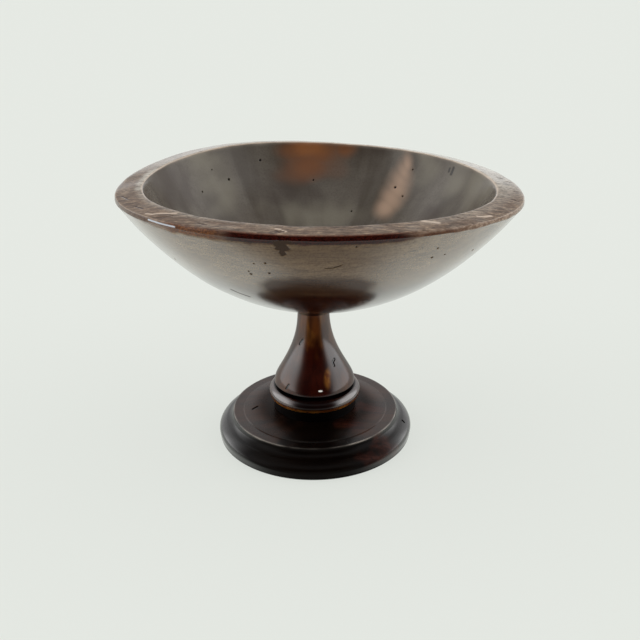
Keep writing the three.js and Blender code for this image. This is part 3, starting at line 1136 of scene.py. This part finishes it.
def make_stem():
    outline = stem_outline()
    piece = turned("stem_polished", outline, np.zeros(len(outline)), STEM_SEGMENTS)
    tree = surface(piece)
    nicks = seen_lines(tree, STEM_NICKS)
    spots = [place for line in nicks for place in line] + [seen_at(tree, STEM_FLECK[0])]
    mesh, points, outward = refine(piece, spots, SMALL_MARK_REACH, STEM_SHARP_ANGLE)
    height, radius = points[:, 2], np.hypot(points[:, 0], points[:, 1])
    turn = np.degrees(np.arctan2(points[:, 1], points[:, 0]))
    hole = nicks_in(points, nicks)
    free = smooth(radius, NECK_RADIUS - 1.5, NECK_RADIUS - 1) * (height > stem_base + 0.5)
    push = SKIN + STEM_SWELL_DEPTH * (1 + ripple(points, 22, 11)) + NICK_DEPTH * hole
    move(mesh, points - outward * (push * free)[:, None])
    # Finishes
    drawn = points * DRAWN_OUT
    warm = 0.7 * patches(points, tree, STEM_WARM, 0.2 * ripple(drawn, 6, 12), 0.1, 1.6)
    # painted light: the stem brown at the sides and dark at the front
    brown = smooth(np.abs(turn - FRONT_TURN), *BROWN_AWAY)
    brown *= (0.7 + 0.3 * ripple(drawn, 12, 13)).clip(0, 1)
    bead = stem_base + BEAD_HEIGHT
    # painted bounce light along the bead's lower edge
    bead_low = bell(height - bead + BEAD_SHADE_DROP, BEAD_SHADE_WIDTH)
    outer = smooth(radius, stem_base_radius, stem_base_radius + 1)
    groove = bead + BEAD_TUBE + GROOVE_WIDTH / 2
    above = smooth(height, groove - 1, groove + 1)
    in_groove = fade(np.abs(height - groove), GROOVE_WIDTH / 2, GROOVE_WIDTH / 2 + 0.6)
    # painted shade in the groove under the flare and the recess under the bead
    stained = np.maximum(fade(height - bead, *STAIN_HEIGHTS), in_groove)
    # painted shade on the front of the bead and below the groove
    black = 0.85 * fade(np.abs(turn - BLACK_TURN), *BLACK_AWAY)
    black *= (height < groove) * (1 - 0.6 * bead_low)
    upper = smooth(height - stem_base, *UPPER_HEIGHTS)
    polish = (0.38 + 0.15 * upper + 0.62 * (1 - above)) * (1 - stained) * (1 - black)
    masks = {
        # the warm mask joins amber patches of wood with painted bounce light on the bead's lower
        # edge
        "warm": np.maximum(warm, 0.85 * bead_low * outer),
        "stained": np.maximum(stained, black),
        "brown": brown * (0.35 + 0.65 * above),
        "polish": polish,
        "fleck": patches(points, tree, [STEM_FLECK], 0, 0.7, 1.1),
        "hole": hole,
    }
    seat(piece, masks, "stem", "stem_wood", stem_material())


# Warm red patches at the right of the foot, in part a painted reflection of the stem on the field
FOOT_WARM = [((388, 448), 14, 9), ((372, 458), 12, 6), ((352, 424), 10, 8), ((372, 408), 12, 9)]
FOOT_NICKS = [[(252.8, 409), (257.6, 406.4)], [(402.4, 420.4), (404, 422.2)]]
# The foot's finishes and painted light: angles from the front, radii, and the width of the painted
# highlights on its edges
ARRIS_AWAY = (8, 30)
FIELD_AWAY = (16, 52)
POLISH_AWAY = (20, 62)
FIELD_RADII = (36, 50)
POLISH_RADII = (40, 56)
ARRIS_WEAR_WIDTH = 0.65
STEP_WEAR_WIDTH = 0.6
UNDERSIDE_HEIGHT = 1.5


def make_foot():
    outline = foot_outline()
    piece = turned("foot_moulded", outline, path_along(outline), FOOT_SEGMENTS)
    tree = surface(piece)
    nicks = seen_lines(tree, FOOT_NICKS)
    spots = [place for line in nicks for place in line]
    mesh, points, outward = refine(piece, spots, SMALL_MARK_REACH, FOOT_SHARP_ANGLE)
    height, radius = points[:, 2], np.hypot(points[:, 0], points[:, 1])
    away = np.abs(np.degrees(np.arctan2(points[:, 1], points[:, 0])) - FRONT_TURN)
    hole = nicks_in(points, nicks)
    shown = (height > UNDERSIDE_HEIGHT) & (radius > LOWER_TENON_RADIUS + 3)
    push = SKIN + FOOT_SWELL_DEPTH * (1 + ripple(points, 26, 21)) + NICK_DEPTH * hole
    move(mesh, points - outward * (push * shown)[:, None])
    # Finishes
    arris_radius = FOOT_RADIUS - FLANGE_WIDTH - COVE_WIDTH
    band_height = foot_seat - FIELD_RISE
    arris = np.hypot(radius - arris_radius, height - band_height + FIELD_STEP)
    step = np.hypot(radius - arris_radius + BAND_WIDTH, height - band_height)
    # painted highlight along the arris and the field's step, strongest away from the front
    worn = bell(arris, ARRIS_WEAR_WIDTH) * (0.1 + 0.7 * smooth(away, *ARRIS_AWAY))
    worn += 0.04 * bell(step, STEP_WEAR_WIDTH)
    worn *= 1 + 0.5 * ripple(points, 12, 22)
    field = fade(radius, arris_radius - 1, arris_radius) * (height > 15)
    # painted light and shade: the field brown at the sides, darker at the front and toward the stem
    brown = field * smooth(away + 8 * ripple(points, 14, 24), *FIELD_AWAY)
    brown *= 0.3 + 0.7 * smooth(radius, *FIELD_RADII)
    cove = bell(radius - arris_radius - COVE_WIDTH / 2, COVE_WIDTH) * (1 - field)
    polish = (1 - 0.6 * field) * (1 - 0.55 * cove) * smooth(radius, *POLISH_RADII)
    polish *= 0.5 + 0.5 * smooth(away, *POLISH_AWAY)
    # warm red-brown, in part a painted reflection of the stem
    warm = patches(points, tree, FOOT_WARM, 0.3 * ripple(points, 10, 23), 0.3, 1.5)
    masks = {"hole": hole, "worn": worn.clip(0, 1), "field": brown, "warm": warm, "polish": polish}
    seat(piece, masks, "foot", "foot_wood", foot_material())


# Room: a pale floor and a soft room that is dark only behind the camera
FLOOR_SIZE = 24000
FLOOR_DROP = 0.2
FLOOR_COLOUR = srgb(229, 231, 226)
FLOOR_ROUGHNESS = 0.8
FLOOR_SPECULAR = 0.2
PALE_COLOUR = srgb(226, 230, 224)
ROOM_COLOUR = srgb(228, 233, 228)
WHITE = (1, 1, 1, 1)
PALE_SHARE = 0.8
ROOM_LIGHT = 0.95
SIDE_LIGHT = 2.3
DARK_LIGHT = 0.03
# The dark and the bright sides: where they start and end around the room, and up it
DARK_START = 0.5
DARK_END = 0.85
DARK_TOP = (0.5, 0.75)
SIDE_REACH = (0.7, 0.9)
SIDE_TOP = (0.6, 0.85)
FRONT_START = -0.15
FRONT_END = -0.24


def make_floor():
    """A pale table, which the gloss sees dark toward the camera, as it sees the room there."""
    half = FLOOR_SIZE * MM / 2
    corners = [(-half, -half, 0), (half, -half, 0), (half, half, 0), (-half, half, 0)]
    mesh = bpy.data.meshes.new("floor")
    mesh.from_pydata(corners, [], [(0, 1, 2, 3)])
    floor = bpy.data.objects.new("floor", mesh)
    floor.location.z = -FLOOR_DROP * MM
    bpy.context.scene.collection.objects.link(floor)
    s = Shader("floor")
    s.give("Base Color", FLOOR_COLOUR)
    s.give("Roughness", FLOOR_ROUGHNESS)
    s.give("Specular IOR Level", FLOOR_SPECULAR)
    ray = s.node("ShaderNodeLightPath").outputs
    seen = s.times(s.math("MAXIMUM", ray["Is Camera Ray"], ray["Is Glossy Ray"]), PALE_SHARE)
    pale = s.made("ShaderNodeEmission", PALE_COLOUR)
    shown = s.made("ShaderNodeMixShader", seen, s.surface.outputs[0], pale)
    place = s.node("ShaderNodeTexCoord").outputs["Object"]
    _, y, _ = s.fill(s.node("ShaderNodeSeparateXYZ"), Vector=place).outputs
    reach = s.fill(s.node("ShaderNodeVectorMath", operation="LENGTH"), Vector=place)
    ahead = s.math("DIVIDE", s.times(y, -1.0), reach.outputs["Value"])
    front = s.range(y, FRONT_END, FRONT_START, 1, 0)
    unlit = s.times(front, s.range(ahead, DARK_START, DARK_END))
    dark = s.made("ShaderNodeEmission", WHITE, DARK_LIGHT)
    final = s.made("ShaderNodeMixShader", s.times(ray["Is Glossy Ray"], unlit), shown, dark)
    s.fill(s.tree.nodes["Material Output"], Surface=final)
    mesh.materials.append(s.material)


def make_room():
    world = bpy.data.worlds.new("room")
    bpy.context.scene.world = world
    world.use_nodes = True
    world.node_tree.nodes.clear()
    n = Nodes(world.node_tree)
    direction = n.node("ShaderNodeTexCoord").outputs["Generated"]
    x, y, z = n.fill(n.node("ShaderNodeSeparateXYZ"), Vector=direction).outputs
    level = n.math("SQRT", n.math("SUBTRACT", 1.0001, n.times(z, z)))
    ahead = n.math("DIVIDE", n.times(y, -1.0), level)
    dark = n.times(n.range(ahead, DARK_START, DARK_END), n.range(z, *DARK_TOP, 1, 0))
    aside = n.math("DIVIDE", n.math("ABSOLUTE", x), level)
    side = n.times(n.range(aside, *SIDE_REACH), n.range(z, *SIDE_TOP, 1, 0))
    light = n.plus(ROOM_LIGHT, n.times(side, SIDE_LIGHT - ROOM_LIGHT))
    light = n.times(light, n.math("SUBTRACT", 1.0, n.times(dark, 1 - DARK_LIGHT)))
    lit = n.made("ShaderNodeBackground", WHITE, light)
    seen = n.made("ShaderNodeBackground", ROOM_COLOUR, 1.0)
    path = n.node("ShaderNodeLightPath").outputs["Is Camera Ray"]
    mixed = n.made("ShaderNodeMixShader", path, lit, seen)
    n.fill(n.node("ShaderNodeOutputWorld"), Surface=mixed)


bpy.context.scene.view_settings.view_transform = "Standard"
make_camera()
make_room()
make_floor()
make_foot()
make_stem()
make_bowl()
